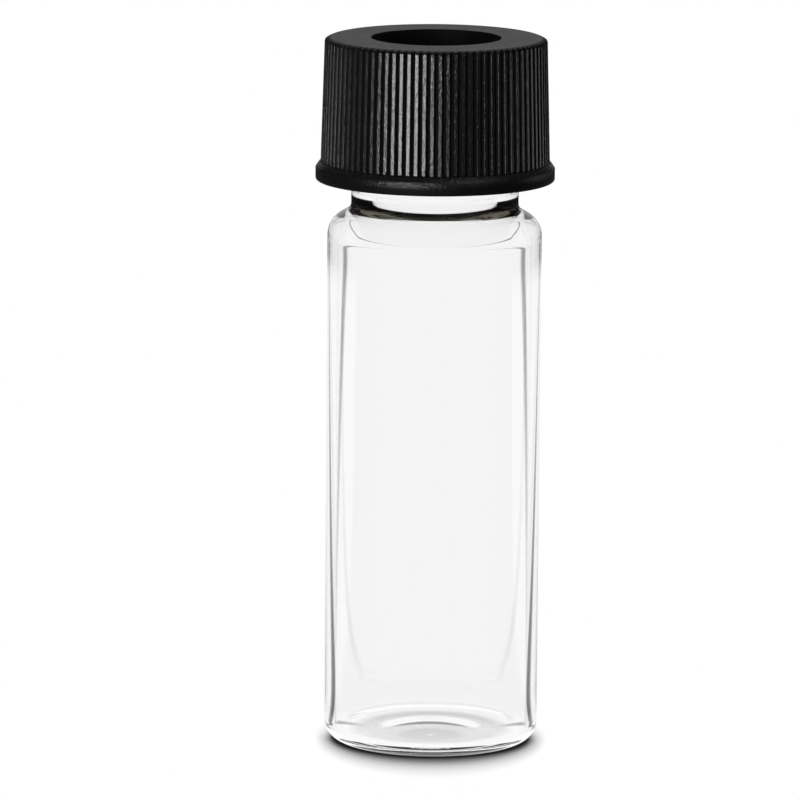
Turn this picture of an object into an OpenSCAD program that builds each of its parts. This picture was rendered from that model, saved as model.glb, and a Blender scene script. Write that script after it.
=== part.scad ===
// Screw-top sample vial: a tube-glass vial with a 13-425 thread finish, an
// open-top screw cap, and the septum that the cap holds down on the glass lip.
// Millimetres, +Z up, origin on the standing plane at the centre of the base.

/* [Glass vial] */
// Outside diameter of the straight body
body_d = 14.6; // [14:0.1:16]
// Height of the glass from the standing plane to the lip
glass_h = 45.5; // [40:0.5:60]
// Wall of the straight body
wall = 1.0; // [0.8:0.05:1.2]
// Thickness of the floor beside the push-up
floor_t = 1.15; // [0.9:0.05:1.6]
// Outside radius of the heel
heel_r = 1.6; // [1.2:0.1:2]
// Inside radius where the wall meets the floor
inner_heel_r = 1.9; // [1.4:0.1:2.4]
// Diameter of the push-up under the base
push_up_d = 8.8; // [6:0.1:9.4]
// Height of the push-up
push_up_h = 0.35; // [0.2:0.05:0.5]
// Rise of the floor over the push-up
floor_rise = 0.22; // [0.1:0.02:0.4]

/* [Glass finish] */
// Outside diameter of the neck between the threads
neck_d = 11.4; // [11.2:0.05:11.5]
// Diameter over the glass thread
thread_d = 12.9; // [12.75:0.05:13.05]
// Bore of the neck
mouth_d = 8.4; // [7.5:0.1:8.8]
// Height of the finish from the top of the shoulder to the lip
finish_h = 8.5; // [8.3:0.1:9.5]
// Slope of the shoulder above the horizontal
shoulder_slope = 30; // [20:1:40]
// Convex radius at the outside of the shoulder
shoulder_r = 1.3; // [1:0.1:1.5]
// Concave radius where the shoulder meets the neck
neck_r_fillet = 0.6; // [0.4:0.05:0.7]

/* [Thread] */
// Rise of the thread in one turn (12 threads per inch)
pitch = 2.117; // [2.1:0.001:2.13]
// Turns of thread on the glass and in the cap
thread_turns = 1.5; // [1.25:0.05:1.6]
// Axial gap between the loaded flanks
flank_gap = 0.08; // [0.05:0.01:0.12]

/* [Screw cap] */
// Height of the cap
cap_h = 9.75; // [9.5:0.05:9.8]
// Diameter over the ribs at the top
cap_top_d = 15.15; // [15:0.05:15.3]
// Diameter over the ribs where they meet the flange
cap_low_d = 15.6; // [15.45:0.05:15.7]
// Diameter of the flange at the bottom of the skirt
flange_d = 16.3; // [16.1:0.1:16.6]
// Height of the flange with its sloped top
flange_h = 1.3; // [1:0.05:1.4]
// Diameter of the hole in the top
hole_d = 8.8; // [8:0.1:9]
// Thickness of the top
cap_top_t = 1.55; // [1.4:0.05:1.6]
// Number of grip ribs
ribs = 90; // [60:2:96]
// Height of a grip rib
rib_h = 0.2; // [0.12:0.02:0.24]
// Bore of the skirt, behind the cap's thread
skirt_bore_d = 13.3; // [13.2:0.05:13.4]
// Bore inside the cap's thread
cap_thread_d = 11.9; // [11.8:0.05:12]

/* [Septum] */
// Diameter of the septum
septum_d = 12.4; // [12.1:0.1:12.8]
// Thickness of the septum
septum_t = 1.5; // [1.3:0.1:1.6]

/* [Hidden] */
$fn = 144;

glass_colour = [0.86, 0.93, 0.93, 0.35];
cap_colour = [0.05, 0.05, 0.055];
septum_colour = [0.90, 0.89, 0.86];

body_r = body_d / 2;
neck_r = neck_d / 2;
mouth_r = mouth_d / 2;
bore_r = body_r - wall;
push_up_r = push_up_d / 2;
shoulder_top_z = glass_h - finish_h;
cap_z = glass_h + septum_t + cap_top_t - cap_h;

lip_outer_r = 0.5;
lip_inner_r = 0.35;
shoulder_wall = 1.15;
inner_shoulder_r = 0.9;
mouth_fillet_r = 1.1;

// A thread's section is a trapezoid: its foot is sunk in the wall behind it.
thread_sink = 0.3;
thread_dip = 0.07;
steps_per_turn = 40;
fade_turns = 0.12;
glass_foot_w = 1.3;
glass_crest_w = 0.5;
cap_foot_w = 0.9;
cap_crest_w = 0.35;
glass_thread_top = 1.45;
cap_thread_bottom = 1.3;

flange_slope_h = 0.36;
flange_slope_in = 0.14;
flange_draft = 0.06;
flange_edge_r = 0.16;
cap_edge = 0.32;
hole_edge = 0.1;
skirt_lead_w = 0.25;
skirt_lead_h = 0.35;

// A rib's section, from its foot sunk in the skirt to its crest.
rib_sink = 0.2;
rib_foot_w = 0.62;
rib_root_h = 0.04;
rib_root_w = 0.38;
rib_crest_w = 0.18;
rib_top_gap = 0.02;

// Points of an arc about c, from angle a0 to a1.
function arc(c, r, a0, a1, n = 6) =
    [for (i = [0 : n]) let (a = a0 + (a1 - a0) * i / n) c + r * [cos(a), sin(a)]];

// ---------------------------------------------------------------- glass vial

// Outside of the shoulder, from the body up to the neck: a convex arc, a
// straight slope and a concave fillet.
turn = 90 - shoulder_slope;
shoulder_run = body_r - neck_r - (shoulder_r + neck_r_fillet) * (1 - cos(turn));
shoulder_rise = (shoulder_r + neck_r_fillet) * sin(turn) + shoulder_run * tan(shoulder_slope);
body_top_z = shoulder_top_z - shoulder_rise;

function shoulder_outside() = concat(
    arc([body_r - shoulder_r, body_top_z], shoulder_r, 0, turn),
    arc([neck_r + neck_r_fillet, shoulder_top_z], neck_r_fillet, 180 + turn, 180));

// Inside of the shoulder, from the neck's bore down to the body's bore.
inner_run = bore_r - mouth_r - (inner_shoulder_r + mouth_fillet_r) * (1 - cos(turn));
inner_rise = (inner_shoulder_r + mouth_fillet_r) * sin(turn) + inner_run * tan(shoulder_slope);
inner_top_z = body_top_z - shoulder_wall + wall + inner_rise;
inner_low_z = inner_top_z - inner_rise;

function shoulder_inside() = concat(
    arc([mouth_r + mouth_fillet_r, inner_top_z], mouth_fillet_r, 180, 180 + turn),
    arc([bore_r - inner_shoulder_r, inner_low_z], inner_shoulder_r, turn, 0));

// Push-up under the base and the floor over it: shallow cosine swells.
function swell(r, edge, height) = height * (1 + cos(180 * r / edge)) / 2;
swell_steps = 8;
function push_up() =
    [for (i = [0 : swell_steps]) let (r = push_up_r * i / swell_steps) [r, swell(r, push_up_r, push_up_h)]];
function floor_top() = [
    for (i = [swell_steps : -1 : 0])
        let (r = push_up_r * i / swell_steps) [r, floor_t + swell(r, push_up_r, floor_rise)]];

function glass_section() = concat(
    push_up(),
    arc([body_r - heel_r, heel_r], heel_r, -90, 0, 8),
    shoulder_outside(),
    arc([neck_r - lip_outer_r, glass_h - lip_outer_r], lip_outer_r, 0, 90),
    arc([mouth_r + lip_inner_r, glass_h - lip_inner_r], lip_inner_r, 90, 180),
    shoulder_inside(),
    arc([bore_r - inner_heel_r, floor_t + inner_heel_r], inner_heel_r, 0, -90, 8),
    floor_top());

// -------------------------------------------------------------------- thread

// How far the thread stands at a place along it: it runs out into the wall at
// both of its ends.
function fade(t, turns) = max(0, min(1, t / fade_turns, (turns - t) / fade_turns));

// A helical thread of `turns` turns. It stands on a wall of radius foot_r and
// reaches crest_r, outwards or inwards; z0 is the middle of its lower end and
// a0 the angle there. Its flanks run on into the wall behind it.
module thread(foot_r, crest_r, foot_w, crest_w, z0, a0, turns) {
    side = sign(crest_r - foot_r);
    n = round(turns * steps_per_turn);
    flank = (foot_w - crest_w) / 2 / abs(crest_r - foot_r);
    back_w = foot_w + 2 * flank * thread_sink;
    points = [
        for (i = [0 : n])
            let (t = turns * i / n, a = a0 + 360 * t, z = z0 + pitch * t,
                 h = (abs(crest_r - foot_r) + thread_dip) * fade(t, turns) - thread_dip,
                 w = foot_w - 2 * flank * h)
            for (q = [[-thread_sink, -back_w / 2], [-thread_sink, back_w / 2], [h, w / 2], [h, -w / 2]])
                let (r = foot_r + side * q.x) [r * cos(a), r * sin(a), z + q.y]];
    walls = [
        for (i = [0 : n - 1], j = [0 : 3])
            let (k = (j + 1) % 4, p = i * 4)
            for (f = [[p + j, p + k, p + 4 + k], [p + j, p + 4 + k, p + 4 + j]])
                side > 0 ? [f[2], f[1], f[0]] : f];
    first = side > 0 ? [0, 1, 2, 3] : [3, 2, 1, 0];
    last = [for (j = first) n * 4 + 3 - j];
    polyhedron(points, concat(walls, [first, last]));
}

glass_thread_z = glass_h - glass_thread_top - thread_turns * pitch;

module glass_vial() {
    color(glass_colour) {
        rotate_extrude() polygon(glass_section());
        thread(neck_r, thread_d / 2, glass_foot_w, glass_crest_w, glass_thread_z, 0, thread_turns);
    }
}

// -------------------------------------------------------------------- septum

module septum() {
    color(septum_colour)
    translate([0, 0, glass_h]) cylinder(d = septum_d, h = septum_t);
}

// ----------------------------------------------------------------- screw cap

cap_top_z = cap_z + cap_h;
flange_top_z = cap_z + flange_h;
low_r = cap_low_d / 2 - rib_h;
top_r = cap_top_d / 2 - rib_h;
draft = atan((low_r - top_r) / (cap_h - flange_h));
flange_r = flange_d / 2;
hole_r = hole_d / 2;
skirt_bore_r = skirt_bore_d / 2;
cap_roof_z = cap_top_z - cap_top_t;

// Body of the cap without its ribs, with its flange.
function cap_section() = concat(
    [[skirt_bore_r + skirt_lead_w, cap_z], [skirt_bore_r, cap_z + skirt_lead_h]],
    [[skirt_bore_r, cap_roof_z], [hole_r, cap_roof_z]],
    [[hole_r, cap_top_z - hole_edge], [hole_r + hole_edge, cap_top_z]],
    arc([top_r - cap_edge, cap_top_z - cap_edge], cap_edge, 90, 0, 4),
    [[low_r, flange_top_z], [low_r + flange_slope_in, flange_top_z],
     [flange_r - flange_draft, flange_top_z - flange_slope_h]],
    arc([flange_r - flange_edge_r, cap_z + flange_edge_r], flange_edge_r, 0, -90, 3));

// One grip rib: a straight bar with sloped flanks, leaning with the draft.
module rib() {
    half = [[-rib_sink, rib_foot_w / 2], [rib_root_h, rib_root_w / 2], [rib_h, rib_crest_w / 2]];
    other_half = [for (i = [2 : -1 : 0]) [half[i].x, -half[i].y]];
    translate([low_r, 0, flange_top_z])
    rotate([0, -draft, 0])
    translate([0, 0, -flange_slope_h])
    linear_extrude(cap_h)
    polygon(concat(half, other_half));
}

// The ribs end in a chamfer just under the flat top of the cap.
module rib_limit() {
    crest_r = cap_top_d / 2;
    rib_top_z = cap_top_z - rib_top_gap;
    rib_top_r = crest_r - cap_edge + rib_top_gap;
    rotate_extrude()
    polygon([[0, cap_z], [flange_r, cap_z], [flange_r, rib_top_z - (flange_r - rib_top_r)],
             [rib_top_r, rib_top_z], [0, rib_top_z]]);
}

// Turning the cap by an angle lifts it by the same part of the pitch, so its
// thread stays midway along the groove of the glass thread.
overlap_r = cap_thread_d / 2;
glass_w = glass_foot_w - (glass_foot_w - glass_crest_w) * (overlap_r - neck_r) / (thread_d / 2 - neck_r);
thread_drop = (glass_w + cap_crest_w) / 2 + flank_gap;
cap_thread_z = cap_z + cap_thread_bottom;
cap_thread_a = 360 * (cap_thread_z - (glass_thread_z - thread_drop)) / pitch;

module screw_cap() {
    color(cap_colour) {
        rotate_extrude() polygon(cap_section());
        intersection() {
            for (i = [0 : ribs - 1]) rotate(360 * i / ribs) rib();
            rib_limit();
        }
        thread(skirt_bore_r, cap_thread_d / 2, cap_foot_w, cap_crest_w,
               cap_thread_z, cap_thread_a, thread_turns);
    }
}

glass_vial();
septum();
screw_cap();
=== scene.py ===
"""Screw-top sample vial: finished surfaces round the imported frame, the studio and the camera."""

import math

import bmesh
import bpy
from mathutils import Matrix, Vector


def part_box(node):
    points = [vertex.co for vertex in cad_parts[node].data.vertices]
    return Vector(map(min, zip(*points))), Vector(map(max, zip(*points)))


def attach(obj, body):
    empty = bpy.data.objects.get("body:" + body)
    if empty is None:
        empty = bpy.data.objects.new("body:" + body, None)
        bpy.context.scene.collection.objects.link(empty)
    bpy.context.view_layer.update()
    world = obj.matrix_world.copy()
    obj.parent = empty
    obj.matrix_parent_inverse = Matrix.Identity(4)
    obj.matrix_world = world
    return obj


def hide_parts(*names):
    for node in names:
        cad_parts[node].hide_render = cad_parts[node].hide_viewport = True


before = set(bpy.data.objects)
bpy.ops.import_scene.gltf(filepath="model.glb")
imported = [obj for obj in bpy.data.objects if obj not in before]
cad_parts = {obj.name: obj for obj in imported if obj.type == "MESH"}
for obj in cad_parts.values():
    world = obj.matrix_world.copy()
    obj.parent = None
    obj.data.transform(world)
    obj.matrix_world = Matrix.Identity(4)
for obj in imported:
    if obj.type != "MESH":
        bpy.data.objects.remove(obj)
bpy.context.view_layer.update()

MM = 0.001
TURN = 2 * math.pi
SHARP_ANGLE = math.radians(38)
WELD = 1e-7
TOLERANCE = 1e-6
GLASS_SIDES = 192
SEPTUM_SIDES = 96

# ------------------------------------------------------------------ dimensions

glass_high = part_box("glass_vial")[1]
cap_low, cap_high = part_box("screw_cap")
septum_low, septum_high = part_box("septum")

BODY_R = glass_high.x
GLASS_H = glass_high.z
WALL = 0.7 * MM
FLOOR_T = 0.8 * MM
HEEL_R = 1.3 * MM
INNER_HEEL_R = 0.45 * MM
PUSH_UP_R = 4.4 * MM
PUSH_UP_H = 0.35 * MM
PUSH_UP_STEPS = 14
FLOOR_RISE = 0.22 * MM

NECK_R = 5.7 * MM
MOUTH_R = 4.2 * MM
LIP_OUTER_R = 0.5 * MM
LIP_INNER_R = 0.35 * MM
SHOULDER_TOP = GLASS_H - 8.3 * MM
SHOULDER_SLOPE = math.radians(30)
SHOULDER_R = 1.6 * MM
NECK_FILLET_R = 0.6 * MM
SHOULDER_WALL = 1.1 * MM
INNER_SHOULDER_R = 1.8 * MM
MOUTH_FILLET_R = 1.6 * MM

PITCH = 2.117 * MM
THREAD_TURNS = 1.5
THREAD_FADE = 0.12
GLASS_THREAD = {"height": 0.75 * MM, "foot": 1.3 * MM, "crest": 0.5 * MM}
CAP_THREAD = {"height": 0.7 * MM, "foot": 0.9 * MM, "crest": 0.35 * MM}
THREAD_BELOW_LIP = 1.45 * MM
GLASS_THREAD_LOW = GLASS_H - THREAD_BELOW_LIP - THREAD_TURNS * PITCH
THREAD_ZONE_LOW = SHOULDER_TOP + 2.2 * MM
CAP_THREAD_LOW = cap_low.z + 1.3 * MM
THREAD_DROP = 0.771 * MM
GLASS_THREAD_ROWS = 0.09 * MM
CAP_THREAD_ROWS = 0.14 * MM

CAP_TOP = cap_high.z
FLANGE_R = cap_high.x
FLANGE_H = 1.3 * MM
FLANGE_SLOPE_H = 0.36 * MM
FLANGE_DRAFT = 0.06 * MM
FLANGE_EDGE_R = 0.16 * MM
SLOPE_FOOT_EASE = (0.05 * MM, 0.07 * MM)
RIBS = 90
RIB_H = 0.2 * MM
RIB_FOOT = 0.47
RIB_CREST = 0.2
RIB_STEPS = 10
RIB_START = 0.8
RIB_FADE = 1.6
RIB_CLEARANCE = 0.02 * MM
ROOT_TOP_R = 7.375 * MM
ROOT_LOW_R = 7.6 * MM
CAP_EDGE_R = 0.3 * MM
HOLE_R = 4.4 * MM
HOLE_EDGE_R = 0.1 * MM
CAP_ROOF = septum_high.z
SKIRT_BORE_R = 6.65 * MM
BORE_LEAD_IN = (0.25 * MM, 0.35 * MM)
ROOF_CORNER = 0.2 * MM
EDGE_LOOP = 0.1 * MM


# ----------------------------------------------------------------- mesh making


def arc(centre, radius, start, end, steps):
    """Points of an arc in the section plane, (r, z), between two angles in degrees."""
    angles = [math.radians(start + (end - start) * i / steps) for i in range(steps + 1)]
    return [(centre[0] + radius * math.cos(a), centre[1] + radius * math.sin(a)) for a in angles]


def run(start, end, step):
    """Points along a straight stretch, ends left out, no further apart than step."""
    count = max(1, math.ceil(math.dist(start, end) / step))
    return [
        (start[0] + (end[0] - start[0]) * i / count, start[1] + (end[1] - start[1]) * i / count)
        for i in range(1, count)
    ]


def turned(outline, steps, closed=False):
    """A bmesh of the outline, given as (r, z) points, turned once round the Z axis."""
    bm = bmesh.new()
    verts = [bm.verts.new((r, 0, z)) for r, z in outline]
    pairs = list(zip(verts, verts[1:]))
    if closed:
        pairs.append((verts[-1], verts[0]))
    edges = [bm.edges.new(pair) for pair in pairs]
    bmesh.ops.spin(
        bm,
        geom=verts + edges,
        cent=(0, 0, 0),
        axis=(0, 0, 1),
        angle=TURN,
        steps=steps,
        use_merge=True,
    )
    bmesh.ops.remove_doubles(bm, verts=bm.verts, dist=WELD)
    bmesh.ops.recalc_face_normals(bm, faces=bm.faces)
    return bm


def push_out(bm, rise):
    """Moves each vertex away from the axis by rise(angle, r, z)."""
    for v in bm.verts:
        r = math.hypot(v.co.x, v.co.y)
        if r > 0:
            out = rise(math.atan2(v.co.y, v.co.x) % TURN, r, v.co.z)
            v.co.x *= 1 + out / r
            v.co.y *= 1 + out / r


def piece(name, bm, body, node, materials):
    """Makes the mesh a smooth-shaded piece that rides on a body and stands for its CAD node."""
    mesh = bpy.data.meshes.new(name)
    bm.to_mesh(mesh)
    bm.free()
    for polygon in mesh.polygons:
        polygon.use_smooth = True
    mesh.set_sharp_from_angle(angle=SHARP_ANGLE)
    for material in materials:
        mesh.materials.append(material)
    made = bpy.data.objects.new(name, mesh)
    bpy.context.scene.collection.objects.link(made)
    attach(made, body)
    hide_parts(node)
    return made


def thread_rise(thread, low, angle, z):
    """How far a helical thread stands at this angle and height; it runs out at both ends."""
    along = angle / TURN + round((z - low) / PITCH - angle / TURN)
    fade = min(1, along / THREAD_FADE, (THREAD_TURNS - along) / THREAD_FADE)
    off = abs(z - low - PITCH * along)
    flank = (thread["foot"] / 2 - off) / (thread["foot"] / 2 - thread["crest"] / 2)
    share = max(0, min(1, flank))
    return thread["height"] * max(0, fade) * share * share * (3 - 2 * share)


# ------------------------------------------------------------------ glass vial


def shoulder(run_r, top_z, convex, concave):
    """Foot of a shoulder that ends at top_z: two arcs and a slope that together span run_r."""
    turn = math.pi / 2 - SHOULDER_SLOPE
    straight = run_r - (convex + concave) * (1 - math.cos(turn))
    return top_z - (convex + concave) * math.sin(turn) - straight * math.tan(SHOULDER_SLOPE)


def swell(step, height):
    """Height of the push-up's round rise, full at the axis and 0 at its edge."""
    return height * (1 + math.cos(math.pi * step / PUSH_UP_STEPS)) / 2


def glass_outline():
    """Section of the glass: from the middle of its underside up the outside and down the bore."""
    turn = 90 - math.degrees(SHOULDER_SLOPE)
    body_top = shoulder(BODY_R - NECK_R, SHOULDER_TOP, SHOULDER_R, NECK_FILLET_R)
    bore_r = BODY_R - WALL
    inner_low = body_top - SHOULDER_WALL + WALL
    mouth = (bore_r - MOUTH_R, inner_low, INNER_SHOULDER_R, MOUTH_FILLET_R)
    inner_top = 2 * inner_low - shoulder(*mouth)
    steps = [(PUSH_UP_R * i / PUSH_UP_STEPS, i) for i in range(PUSH_UP_STEPS + 1)]
    push_up = [(r, swell(i, PUSH_UP_H)) for r, i in steps]
    floor = [(r, FLOOR_T + swell(i, FLOOR_RISE)) for r, i in reversed(steps)]
    thread_zone = (NECK_R, THREAD_ZONE_LOW), (NECK_R, GLASS_H - LIP_OUTER_R)
    return [
        *push_up,
        *arc((BODY_R - HEEL_R, HEEL_R), HEEL_R, -90, 0, 20),
        *run((BODY_R, HEEL_R), (BODY_R, body_top), 2 * MM),
        *arc((BODY_R - SHOULDER_R, body_top), SHOULDER_R, 0, turn, 14),
        *arc((NECK_R + NECK_FILLET_R, SHOULDER_TOP), NECK_FILLET_R, 180 + turn, 180, 10),
        thread_zone[0],
        *run(*thread_zone, GLASS_THREAD_ROWS),
        *arc((NECK_R - LIP_OUTER_R, GLASS_H - LIP_OUTER_R), LIP_OUTER_R, 0, 90, 10),
        *arc((MOUTH_R + LIP_INNER_R, GLASS_H - LIP_INNER_R), LIP_INNER_R, 90, 180, 8),
        *arc((MOUTH_R + MOUTH_FILLET_R, inner_top), MOUTH_FILLET_R, 180, 180 + turn, 12),
        *arc((bore_r - INNER_SHOULDER_R, inner_low), INNER_SHOULDER_R, turn, 0, 12),
        *arc((bore_r - INNER_HEEL_R, FLOOR_T + INNER_HEEL_R), INNER_HEEL_R, 0, -90, 20),
        *floor,
    ]


def make_glass_vial(material):
    bm = turned(glass_outline(), GLASS_SIDES)

    def rise(angle, r, z):
        on_neck = abs(r - NECK_R) < TOLERANCE and z > SHOULDER_TOP
        return thread_rise(GLASS_THREAD, GLASS_THREAD_LOW, angle, z) if on_neck else 0

    push_out(bm, rise)
    return piece("vial_glass", bm, "vial", "glass_vial", [material])


# ------------------------------------------------------------------- screw cap


def cap_outline():
    """Closed section of the cap, from the foot of its bore up the inside and down the ribs."""
    flange_top = cap_low.z + FLANGE_H
    slope_foot = (FLANGE_R - FLANGE_DRAFT, flange_top - FLANGE_SLOPE_H)
    skirt_top = (ROOT_TOP_R, CAP_TOP - CAP_EDGE_R)
    slope_top = (ROOT_LOW_R + RIB_H + RIB_CLEARANCE, flange_top)
    rib_foot = (ROOT_LOW_R, flange_top + RIB_CLEARANCE)
    bore = (SKIRT_BORE_R, cap_low.z + BORE_LEAD_IN[1]), (SKIRT_BORE_R, CAP_ROOF - ROOF_CORNER)
    roof = (SKIRT_BORE_R - ROOF_CORNER, CAP_ROOF), (HOLE_R, CAP_ROOF)
    return [
        (SKIRT_BORE_R + BORE_LEAD_IN[0], cap_low.z),
        bore[0],
        *run(*bore, CAP_THREAD_ROWS),
        bore[1],
        roof[0],
        *run(*roof, 1 * MM),
        roof[1],
        (HOLE_R, CAP_ROOF + EDGE_LOOP),
        *arc((HOLE_R + HOLE_EDGE_R, CAP_TOP - HOLE_EDGE_R), HOLE_EDGE_R, 180, 90, 5),
        (HOLE_R + 2 * HOLE_EDGE_R, CAP_TOP),
        (ROOT_TOP_R - 2 * CAP_EDGE_R, CAP_TOP),
        *arc((ROOT_TOP_R - CAP_EDGE_R, CAP_TOP - CAP_EDGE_R), CAP_EDGE_R, 90, 0, 7),
        *run(skirt_top, rib_foot, 1.1 * MM),
        rib_foot,
        slope_top,
        (slope_foot[0] - SLOPE_FOOT_EASE[0], slope_foot[1] + SLOPE_FOOT_EASE[1]),
        (FLANGE_R, slope_foot[1] - EDGE_LOOP),
        (FLANGE_R, cap_low.z + FLANGE_EDGE_R + EDGE_LOOP),
        *arc((FLANGE_R - FLANGE_EDGE_R, cap_low.z + FLANGE_EDGE_R), FLANGE_EDGE_R, 0, -90, 5),
        (FLANGE_R - 2 * FLANGE_EDGE_R, cap_low.z),
    ]


def rib_crown(angle):
    """Section of the ribs, 0 in the grooves and 1 on the flat of the crests."""
    across = abs((angle / TURN * RIBS + 0.5) % 1 - 0.5)
    share = max(0, min(1, (RIB_FOOT - across) / (RIB_FOOT - RIB_CREST)))
    return share * share * (3 - 2 * share)


def make_screw_cap(material):
    bm = turned(cap_outline(), RIBS * RIB_STEPS, closed=True)
    thread_angle = TURN * (CAP_THREAD_LOW - (GLASS_THREAD_LOW - THREAD_DROP)) / PITCH
    rib_start_r = ROOT_TOP_R - CAP_EDGE_R * RIB_START

    def rise(angle, r, z):
        if abs(r - SKIRT_BORE_R) < TOLERANCE:
            return -thread_rise(CAP_THREAD, CAP_THREAD_LOW, (angle - thread_angle) % TURN, z)
        if r > rib_start_r and z > cap_low.z + FLANGE_H + TOLERANCE:
            fade = min(1, (CAP_TOP - z) / CAP_EDGE_R * RIB_FADE)
            return RIB_H * rib_crown(angle) * fade
        return 0

    push_out(bm, rise)
    return piece("cap_moulding", bm, "cap", "screw_cap", [material])


# ---------------------------------------------------------------------- septum


def make_septum(silicone, facing):
    edge = 0.12 * MM
    film = 0.13 * MM
    low, high, r = septum_low.z, septum_high.z, septum_high.x
    outline = [
        (0, low),
        (r * 0.5, low),
        (r - 2 * edge, low),
        *arc((r - edge, low + edge), edge, -90, 0, 5),
        (r, low + film + 0.02 * MM),
        (r, (low + high) / 2),
        *arc((r - edge, high - edge), edge, 0, 90, 5),
        (r - 2 * edge, high),
        (r * 0.5, high),
        (0, high),
    ]
    bm = turned(outline, SEPTUM_SIDES)
    for face in bm.faces:
        face.material_index = 1 if face.calc_center_median().z < low + film else 0
    return piece("septum_disc", bm, "seal", "septum", [silicone, facing])


# ------------------------------------------------------------------- materials

# A pair is where a smooth step starts and ends. Rib and flange heights are from the flange's top.
HEEL_SHADE_Z = (0.5 * MM, 6.0 * MM)
HEEL_SHADE_R = (BODY_R - 1.7 * MM, BODY_R - 0.9 * MM)
CREST_DEPTH = (0.002 * MM, 0.012 * MM)
CREST_Z = (0.0, 0.05 * MM)
TOP_Z = (CAP_TOP - 0.06 * MM, CAP_TOP - 0.01 * MM)
TOP_POLISH = 0.15
FLANGE_LOW_Z = (-0.9 * MM, -0.4 * MM)
FLANGE_HIGH_Z = (-0.1 * MM, 0.0)
FLANGE_POLISH = 0.45


class Socket:
    """A shader output that arithmetic can be written on."""

    def __init__(self, paint, link):
        self.paint = paint
        self.link = link

    def math(self, operation, other, swapped=False):
        """A Math node on this output and another output or a number."""
        values = [other, self] if swapped else [self, other]
        return self.paint.node("ShaderNodeMath", {"operation": operation}, dict(enumerate(values)))

    def __add__(self, other):
        return self.math("ADD", other)

    __radd__ = __add__

    def __sub__(self, other):
        return self.math("SUBTRACT", other)

    def __rsub__(self, other):
        return self.math("SUBTRACT", other, swapped=True)

    def __mul__(self, other):
        return self.math("MULTIPLY", other)

    __rmul__ = __mul__

    def __truediv__(self, other):
        return self.math("DIVIDE", other)

    def __abs__(self):
        return self.math("ABSOLUTE", 0.0)


class Paint:
    """One material's node tree, and short ways to write its nodes."""

    def __init__(self, name):
        self.material = bpy.data.materials.new(name)
        self.material.use_nodes = True
        self.tree = self.material.node_tree
        self.tree.nodes.clear()
        self.out = self.tree.nodes.new("ShaderNodeOutputMaterial")

    def node(self, kind, settings=None, inputs=None, output=0):
        """A node with its settings made first and then its sockets given values or links."""
        made = self.tree.nodes.new(kind)
        for key, value in (settings or {}).items():
            setattr(made, key, value)
        for key, value in (inputs or {}).items():
            if isinstance(value, Socket):
                self.tree.links.new(value.link, made.inputs[key])
            else:
                made.inputs[key].default_value = value
        return Socket(self, made.outputs[output])

    def place(self, scale=(1, 1, 1)):
        """Object coordinates, stretched along each axis."""
        where = self.node("ShaderNodeTexCoord", output="Object")
        return self.node("ShaderNodeMapping", inputs={"Vector": where, "Scale": scale})

    def axis(self, name):
        """One of the object coordinates, in metres."""
        where = self.node("ShaderNodeTexCoord", output="Object")
        return self.node("ShaderNodeSeparateXYZ", inputs={"Vector": where}, output=name)

    def height(self):
        return self.axis("Z")

    def radius(self, across=1):
        """Distance from the Z axis, with X stretched."""
        flat = {0: self.place((across, 1, 0))}
        return self.node("ShaderNodeVectorMath", {"operation": "LENGTH"}, flat, output="Value")

    def ramp(self, value, low, high):
        """0 below low, 1 above high, and a smooth step between them."""
        return self.node(
            "ShaderNodeMapRange",
            {"interpolation_type": "SMOOTHSTEP"},
            {"Value": value, "From Min": low, "From Max": high},
        )

    def noise(self, scale, detail, stretch=(1, 1, 1), **more):
        inputs = {"Vector": self.place(stretch), "Scale": scale, "Detail": detail, **more}
        return self.node("ShaderNodeTexNoise", inputs=inputs)

    def bump(self, height, strength, distance):
        inputs = {"Strength": strength, "Distance": distance, "Height": height}
        return self.node("ShaderNodeBump", inputs=inputs)

    def path(self, kind):
        """1 for rays of this kind and 0 for the others."""
        return self.node("ShaderNodeLightPath", output=kind)

    def glow(self, strength):
        return self.node("ShaderNodeEmission", inputs={"Strength": strength})

    def clear(self, colour):
        return self.node("ShaderNodeBsdfTransparent", inputs={"Color": (*colour, 1)})

    def mix(self, share, first, second):
        """The first shader where share is 0 and the second where it is 1."""
        return self.node("ShaderNodeMixShader", inputs={0: share, 1: first, 2: second})

    def finish(self, shader):
        self.tree.links.new(shader.link, self.out.inputs["Surface"])
        return self.material


def clear_glass():
    """Clear glass; to the paper's light it is a thin clear wall with a painted dark foot at its
    heel, a painted shadow that darkens the contact shadow.
    """
    paint = Paint("clear_tube_glass")
    draw_lines = paint.noise(1.0, 1.0, (260, 260, 9))
    ripple = paint.bump(draw_lines, 0.02, 0.02 * MM)
    glass = paint.node(
        "ShaderNodeBsdfPrincipled",
        inputs={
            "Base Color": (0.992, 0.993, 0.991, 1),
            "Roughness": 0.0,
            "IOR": 1.5,
            "Transmission Weight": 1.0,
            "Normal": ripple,
        },
    )
    thin_wall = paint.clear((0.955, 0.96, 0.958))
    # Painted shadow: the heel's dark colour stands in for the light that the thick curved heel
    # bends away.
    heel_painted_shadow = paint.clear((0.02, 0.02, 0.02))
    above_heel = paint.ramp(paint.height(), *HEEL_SHADE_Z)
    inside_heel = 1.0 - paint.ramp(paint.radius(), *HEEL_SHADE_R)
    off_heel = above_heel.math("MAXIMUM", inside_heel)
    shade = paint.mix(off_heel, heel_painted_shadow, thin_wall)
    from_paper = paint.path("Is Shadow Ray") + paint.path("Is Diffuse Ray")
    return paint.finish(paint.mix(from_paper, glass, shade))


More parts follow.
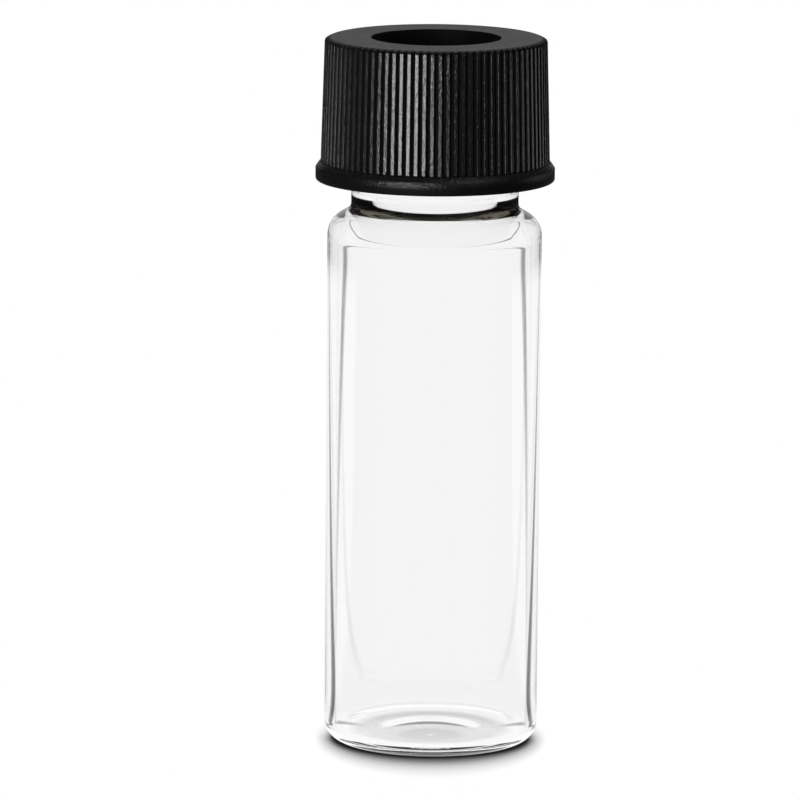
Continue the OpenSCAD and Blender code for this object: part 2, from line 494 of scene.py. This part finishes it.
def black_plastic():
    """Matt black plastic with fine grain, polished on the rib crests, the top and the flange."""
    paint = Paint("black_moulded_plastic")
    grain = paint.noise(5200.0, 3.0, Roughness=0.6)
    cloud = paint.noise(900.0, 2.0)
    peel = paint.bump(grain, 0.7, 0.08 * MM)
    above_flange = paint.height() - (cap_low.z + FLANGE_H)
    rib_length = CAP_TOP - CAP_EDGE_R - cap_low.z - FLANGE_H
    crest_r = ROOT_LOW_R + RIB_H - above_flange * ((ROOT_LOW_R - ROOT_TOP_R) / rib_length)
    below_crest = crest_r - paint.radius()
    on_ribs = paint.ramp(above_flange, *CREST_Z)
    on_crest = on_ribs * (1.0 - paint.ramp(below_crest, *CREST_DEPTH))
    on_top = paint.ramp(paint.height(), *TOP_Z)
    below_ribs = 1.0 - paint.ramp(above_flange, *FLANGE_HIGH_Z)
    on_flange = paint.ramp(above_flange, *FLANGE_LOW_Z) * below_ribs
    plastic = paint.node(
        "ShaderNodeBsdfPrincipled",
        inputs={
            "Base Color": (0.002, 0.002, 0.0022, 1),
            "Roughness": cloud * 0.1 + 0.5,
            "Specular IOR Level": 0.03,
            "Coat Weight": on_crest + on_top * TOP_POLISH + on_flange * FLANGE_POLISH,
            "Coat Roughness": 0.26,
            "Coat IOR": 1.5,
            "Normal": peel,
            "Coat Normal": peel,
        },
    )
    return paint.finish(plastic)


def silicone_rubber():
    """Milky silicone, a little cloudy in tone and gloss."""
    paint = Paint("white_silicone")
    haze = paint.noise(700.0, 3.0)
    tone = paint.node(
        "ShaderNodeMix",
        {"data_type": "RGBA"},
        {"Factor": haze, 6: (0.78, 0.77, 0.73, 1), 7: (0.86, 0.85, 0.82, 1)},
        output=2,
    )
    rubber = paint.node(
        "ShaderNodeBsdfPrincipled",
        inputs={"Base Color": tone, "Roughness": haze * 0.15 + 0.45, "IOR": 1.43},
    )
    return paint.finish(rubber)


def facing_film():
    """The tan film bonded to the septum's underside."""
    paint = Paint("bonded_facing_film")
    streak = paint.noise(500.0, 2.0, (1, 6, 1))
    film = paint.node(
        "ShaderNodeBsdfPrincipled",
        inputs={
            "Base Color": (0.74, 0.66, 0.52, 1),
            "Roughness": streak * 0.12 + 0.3,
            "IOR": 1.38,
        },
    )
    return paint.finish(film)


# ---------------------------------------------------------------------- studio

SURROUND_R = 0.95
SURROUND_H = 0.5
WORLD_FILL = 0.06

# What reflections see of the wall and of the paper.
BACK_EDGE = (0.91 * SURROUND_R, 0.98 * SURROUND_R)
BACK_REFLECTION = 0.6
SIDE_REFLECTION = 0.02
MIRRORED_NEAR = (0.012, 0.02)
MIRRORED_FAR = (0.2, 0.224)
MIRRORED_Y = (0.0, 0.01)
MIRRORED_DARK = 0.03

# The contact shadow is whole inside the inner radius and gone beyond its reach, which is shorter
# to the sides.
SHADOW_INNER_R = 6.7 * MM
SHADOW_REACH = 13.1 * MM
SHADOW_NARROW = 1.65

# The paper through glass: itself under the base, plain white beside it, with a band of painted
# shade behind that only the glass shows.
BESIDE_BASE = (4.5 * MM, 6.0 * MM)
THROUGH_GLASS = 0.96
BAND_REACH = 0.025
BAND_BEND = 4.0
BAND_EDGE = (0.13, 0.4)
BAND_FAR = (0.03, 0.2)
BAND_FAR_LOSS = 0.1


def painted_shade_band(paint):
    """1 along a curved band of painted shade on the floor, seen only through the glass, that
    leaves the object on both sides and runs away behind it.
    """
    x, y = paint.axis("X"), paint.axis("Y")
    off = abs(x * x / (y * BAND_REACH * (1.0 - y * y * BAND_BEND) + 1e-6) - 1.0)
    return (1.0 - paint.ramp(off, *BAND_EDGE)) * (1.0 - BAND_FAR_LOSS * paint.ramp(y, *BAND_FAR))


def floor_sheet():
    """White paper that keeps the shadow by the object, shows as plain white further out, and has a
    band of painted shade that only the glass shows.
    """
    paint = Paint("white_sweep")
    tooth = paint.noise(900.0, 2.0)
    paper = paint.node(
        "ShaderNodeBsdfPrincipled",
        inputs={
            "Base Color": (0.95, 0.95, 0.95, 1),
            "Roughness": tooth * 0.1 + 0.85,
            "Specular IOR Level": 0.0,
        },
    )
    from_axis = paint.radius()
    beyond = (from_axis - SHADOW_INNER_R).math("MAXIMUM", 0.0)
    short_of = (SHADOW_REACH - paint.radius(SHADOW_NARROW)).math("MAXIMUM", 0.0)
    plain = beyond / (beyond + short_of + 1e-7)
    beside = paint.ramp(from_axis, *BESIDE_BASE)
    camera, through = paint.path("Is Camera Ray"), paint.path("Is Transmission Ray")
    mirrored = paint.path("Is Glossy Ray") * (1.0 - through)
    # Painted reflection: reflections see white glow close to the object, over its shadow, and
    # behind it, and nearly black elsewhere.
    near_enough = 1.0 - paint.ramp(from_axis, *MIRRORED_FAR)
    behind = paint.ramp(paint.axis("Y"), *MIRRORED_Y) * near_enough
    close = 1.0 - paint.ramp(from_axis, *MIRRORED_NEAR)
    mirror_level = behind.math("MAXIMUM", close) * (1.0 - MIRRORED_DARK) + MIRRORED_DARK
    # Through glass the paper's glow is dimmed along the band of painted shade.
    level = camera + through * THROUGH_GLASS * (1.0 - painted_shade_band(paint)) + mirrored * mirror_level
    share = camera * plain + through * beside + mirrored
    return paint.finish(paint.mix(share, paper, paint.glow(level)))


def surround_sheet():
    """A white wall to the camera and through glass; reflections see it only behind the object."""
    paint = Paint("white_surround")
    camera, through = paint.path("Is Camera Ray"), paint.path("Is Transmission Ray")
    mirrored = paint.path("Is Glossy Ray") * (1.0 - through)
    behind = paint.ramp(paint.axis("Y"), *BACK_EDGE)
    strength = camera + through + mirrored * (behind * BACK_REFLECTION + SIDE_REFLECTION)
    seen = camera + through + mirrored
    return paint.finish(paint.mix(seen, paint.clear((1, 1, 1)), paint.glow(strength)))


def stage_piece(name, bm, material):
    """Makes the mesh a part of the studio, which isn't part of the object."""
    mesh = bpy.data.meshes.new(name)
    bm.to_mesh(mesh)
    bm.free()
    mesh.materials.append(material)
    made = bpy.data.objects.new(name, mesh)
    bpy.context.scene.collection.objects.link(made)


def make_stage():
    floor = bmesh.new()
    bmesh.ops.create_grid(floor, x_segments=8, y_segments=8, size=SURROUND_R)
    stage_piece("floor", floor, floor_sheet())
    wall = bmesh.new()
    bmesh.ops.create_circle(wall, segments=96, radius=SURROUND_R)
    raised = bmesh.ops.extrude_edge_only(wall, edges=wall.edges)["geom"]
    for v in raised:
        if isinstance(v, bmesh.types.BMVert):
            v.co.z = SURROUND_H
    stage_piece("surround", wall, surround_sheet())


def softbox(name, azimuth, elevation, distance, size, strength, aim):
    """An area lamp aimed at a point; azimuth 0 is the camera's side and strength its radiance."""
    lamp = bpy.data.lights.new(name, "AREA")
    lamp.shape = "RECTANGLE"
    lamp.size, lamp.size_y = size
    lamp.energy = strength * size[0] * size[1] * math.pi
    a, e = math.radians(azimuth), math.radians(elevation)
    back = Vector((math.sin(a) * math.cos(e), -math.cos(a) * math.cos(e), math.sin(e)))
    made = bpy.data.objects.new(name, lamp)
    made.location = aim + back * distance
    made.rotation_mode = "QUATERNION"
    made.rotation_quaternion = back.to_track_quat("Z", "Y")
    made.visible_camera = False
    bpy.context.scene.collection.objects.link(made)
    return made


def light_only(lamps, objects):
    """Keeps these lamps' light, and their reflections, to these objects."""
    lit = bpy.data.collections.new("lit_" + lamps[0].name)
    for made in objects:
        lit.objects.link(made)
    for lamp in lamps:
        lamp.light_linking.receiver_collection = lit


def make_lights(cap):
    """One large lamp above and behind for everything, and three small ones for the cap alone."""
    middle = Vector((0, 0, 0.03))
    on_cap = Vector((0, 0, 0.044))
    softbox("top_back", 180, 56, 0.8, (0.7, 0.6), 5.4, middle)
    strips = [
        softbox("rib_strip", -28, 1, 0.2, (0.12, 0.084), 22, on_cap),
        softbox("flange_strip", 43, 45, 0.3, (0.02, 0.12), 20, on_cap),
        softbox("side_strip", 118, 3, 0.3, (0.12, 0.1), 1.2, on_cap),
    ]
    light_only(strips, [cap])


def make_world():
    """White to the camera and a faint fill to everything else."""
    world = bpy.data.worlds.new("studio")
    world.use_nodes = True
    tree = world.node_tree
    background = tree.nodes["Background"]
    background.inputs["Color"].default_value = (1.0, 1.0, 1.0, 1)
    path = tree.nodes.new("ShaderNodeLightPath")
    strength = tree.nodes.new("ShaderNodeMapRange")
    strength.inputs["To Min"].default_value = WORLD_FILL
    strength.inputs["To Max"].default_value = 1.0
    tree.links.new(path.outputs["Is Camera Ray"], strength.inputs["Value"])
    tree.links.new(strength.outputs["Result"], background.inputs["Strength"])
    bpy.context.scene.world = world


# ---------------------------------------------------------------------- camera

CAMERA_DISTANCE = 0.559
CAMERA_HEIGHT = 0.1204
CAMERA_X = -0.00227
CAMERA_TILT = math.radians(9.83)
CAMERA_ROLL = math.radians(0.45)
SENSOR = 36
FOCAL_LENGTH = 373.4


def make_camera():
    data = bpy.data.cameras.new("camera")
    data.sensor_width = SENSOR
    data.lens = FOCAL_LENGTH
    data.clip_start = 0.01
    data.clip_end = 10
    camera = bpy.data.objects.new("camera", data)
    tilt = Matrix.Rotation(math.pi / 2 - CAMERA_TILT, 4, "X")
    looking = tilt @ Matrix.Rotation(CAMERA_ROLL, 4, "Z")
    place = Matrix.Translation((CAMERA_X, -CAMERA_DISTANCE, CAMERA_HEIGHT))
    camera.matrix_world = place @ looking
    bpy.context.scene.collection.objects.link(camera)
    bpy.context.scene.camera = camera


make_glass_vial(clear_glass())
make_septum(silicone_rubber(), facing_film())
cap_piece = make_screw_cap(black_plastic())
make_stage()
make_lights(cap_piece)
make_world()
make_camera()
bpy.context.scene.view_settings.view_transform = "Standard"
